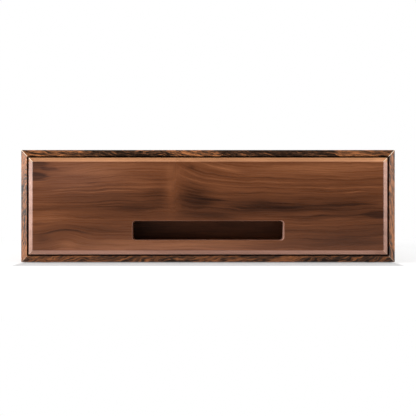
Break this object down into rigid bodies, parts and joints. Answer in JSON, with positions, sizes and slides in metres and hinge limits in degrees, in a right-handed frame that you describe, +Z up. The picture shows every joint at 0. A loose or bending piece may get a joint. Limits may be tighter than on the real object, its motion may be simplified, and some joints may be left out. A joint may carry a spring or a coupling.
{
  "type": "cigar humidor",
  "caption": "Desktop wooden cigar humidor: mitred, bevelled casing with one lined drawer, opened by a finger slot in its bevelled front.",
  "frame": {"origin": "on the table, under the middle of the box, at the foot pads' undersides", "axes": "+X to the right along the front, +Y from the front to the back, +Z up; the drawer opens towards -Y"},
  "size_m": [0.44, 0.28, 0.133],
  "materials": {
    "figured_wood": "satin",
    "walnut": "satin",
    "cedar": "unfinished",
    "hardwood": "waxed",
    "seal_rubber": "matt",
    "pad_rubber": "matt",
    "brass": "polished",
    "steel": "bright",
    "dial_paint": "matt",
    "needle_paint": "satin",
    "glass": "clear",
    "black_plastic": "matt",
    "foam": "porous"
  },
  "bodies": {
    "casing": {"casing_top": "figured_wood", "casing_bottom": "figured_wood", "casing_left": "figured_wood", "casing_right": "figured_wood", "casing_back": "figured_wood", "mitre_splines": "hardwood", "lining_top": "cedar", "lining_bottom": "cedar", "lining_back": "cedar", "lining_left": "cedar", "lining_right": "cedar", "runner_left": "hardwood", "runner_right": "hardwood", "runner_screws": "brass", "stop_strip": "hardwood", "casing_magnets": "steel", "foot_pads": "pad_rubber"},
    "drawer": {"drawer_front": "walnut", "pocket_frame": "walnut", "seal_plate": "walnut", "drawer_seal": "seal_rubber", "drawer_inner_front": "cedar", "drawer_side_left": "cedar", "drawer_side_right": "cedar", "drawer_back": "cedar", "drawer_floor": "cedar", "front_screws": "brass", "drawer_magnets": "steel", "bay_partition": "cedar", "bay_cleat": "cedar", "bay_shelf": "cedar", "divider_rail_front": "cedar", "divider_rail_back": "cedar", "stop_button_screw": "steel", "hygrometer_case": "brass", "hygrometer_dial": "dial_paint", "hygrometer_coil": "steel", "hygrometer_glass": "glass", "hygrometer_bezel": "brass", "humidifier_tray": "black_plastic", "humidifier_foam": "foam", "humidifier_grille": "black_plastic"},
    "needle": {"hygrometer_shaft": "steel", "hygrometer_needle": "needle_paint"},
    "divider_left": {"divider_left": "cedar"},
    "divider_right": {"divider_right": "cedar"},
    "stop_button": {"stop_button": "brass"}
  },
  "joints": [
    {"name": "drawer_slide", "type": "slide", "parent": "casing", "child": "drawer", "axis": [0, -1, 0], "range_m": [0, 0.17]},
    {"name": "divider_left_slide", "type": "slide", "parent": "drawer", "child": "divider_left", "axis": [1, 0, 0], "range_m": [-0.104, 0.05]},
    {"name": "divider_right_slide", "type": "slide", "parent": "drawer", "child": "divider_right", "axis": [1, 0, 0], "range_m": [-0.05, 0.104]},
    {"name": "needle_turn", "type": "hinge", "parent": "drawer", "child": "needle", "pos_m": [-0.166, -0.052, 0.1], "axis": [0, 0, 1], "range_deg": [-135, 135]},
    {"name": "stop_button_turn", "type": "hinge", "parent": "drawer", "child": "stop_button", "pos_m": [0, 0.122, 0.106], "axis": [0, 1, 0], "range_deg": [0, 90]}
  ]
}
